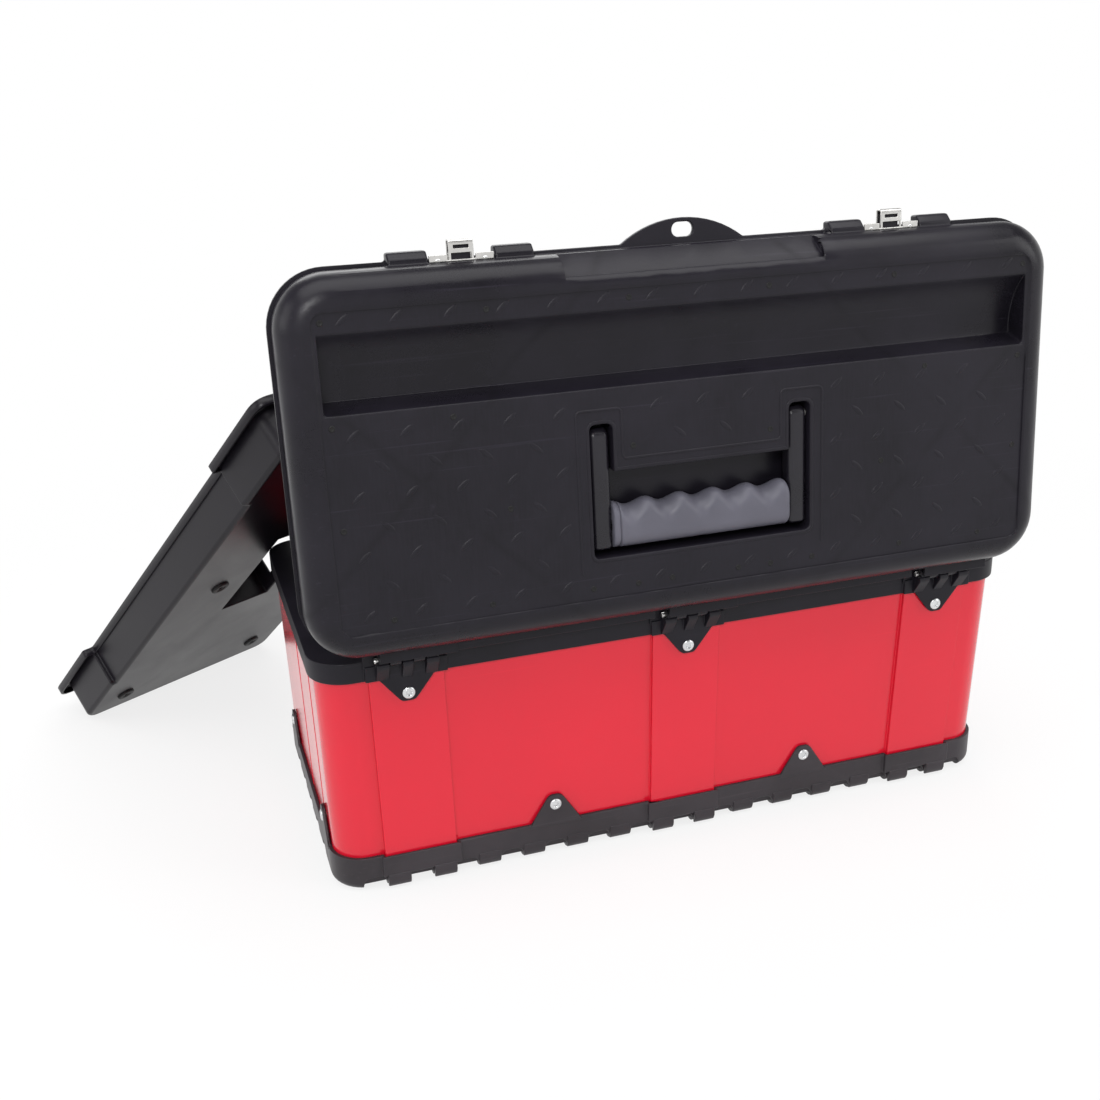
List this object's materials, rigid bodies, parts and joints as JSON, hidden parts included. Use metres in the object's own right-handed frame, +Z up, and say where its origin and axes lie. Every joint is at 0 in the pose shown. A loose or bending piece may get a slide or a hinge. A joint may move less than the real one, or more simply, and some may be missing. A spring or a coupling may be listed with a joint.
{
  "type": "tool box",
  "caption": "Tool box with painted sheet walls between a moulded base and rim, a hinged lid with a folding handle, flip clasps and a lift-out tray that leans on the rim.",
  "frame": {"origin": "on the floor under the middle of the base", "axes": "+Z up, +Y towards the hinges, -Y towards the clasps, +X along the box towards the leaning tray"},
  "size_m": [0.7783, 0.5623, 0.482],
  "materials": {
    "black_plastic": "satin, fine moulded grain",
    "tray_plastic": "smooth moulded, half gloss",
    "foot_plastic": "smooth",
    "red_paint": "gloss enamel",
    "grey_grip": "soft satin",
    "rivet_metal": "bright drawn",
    "nickel": "nickel plated, fine brushed",
    "steel": "bright"
  },
  "bodies": {
    "box": {"base_pan": "black_plastic", "rear_panel": "red_paint", "front_panel": "red_paint", "end_wrap_right": "red_paint", "end_wrap_left": "red_paint", "rim_frame": "black_plastic", "hinge_pin_left": "steel", "hinge_pin_center": "steel", "hinge_pin_right": "steel", "rim_rivets": "rivet_metal", "base_rivets": "rivet_metal", "latch_rivets": "rivet_metal", "latch_plate_left": "nickel", "latch_plate_right": "nickel", "clasp_pin_left": "steel", "clasp_pin_right": "steel"},
    "lid": {"lid_shell": "black_plastic", "keeper_left": "nickel", "keeper_right": "nickel", "keeper_rivets": "rivet_metal", "handle_pin_left": "steel", "handle_pin_right": "steel"},
    "handle": {"handle_bail": "black_plastic", "handle_grip": "grey_grip"},
    "clasp_left": {"latch_clasp_left": "nickel"},
    "clasp_right": {"latch_clasp_right": "nickel"},
    "tray": {"tote_tray": "tray_plastic", "tray_feet": "foot_plastic"}
  },
  "joints": [
    {"name": "lid_hinge", "type": "hinge", "parent": "box", "child": "lid", "pos_m": [0, 0.14435, 0.1945], "axis": [1, 0, 0], "range_deg": [0, 85.6]},
    {"name": "handle_swing", "type": "hinge", "parent": "lid", "child": "handle", "pos_m": [0, 0.15359, 0.34164], "axis": [1, 0, 0], "range_deg": [0, 90]},
    {"name": "clasp_left_flip", "type": "hinge", "parent": "box", "child": "clasp_left", "pos_m": [-0.16, -0.14445, 0.174], "axis": [-1, 0, 0], "range_deg": [0, 180]},
    {"name": "clasp_right_flip", "type": "hinge", "parent": "box", "child": "clasp_right", "pos_m": [0.16, -0.14445, 0.174], "axis": [-1, 0, 0], "range_deg": [0, 180]},
    {"name": "tray_lift", "type": "slide", "parent": "box", "child": "tray", "axis": [0.3651, -0.5752, 0.732], "range_m": [0, 0.5]}
  ],
  "couplings": [
    {"joint": "tray_lift", "follows": "lid_hinge", "m_per_rad": 0.3341}
  ]
}
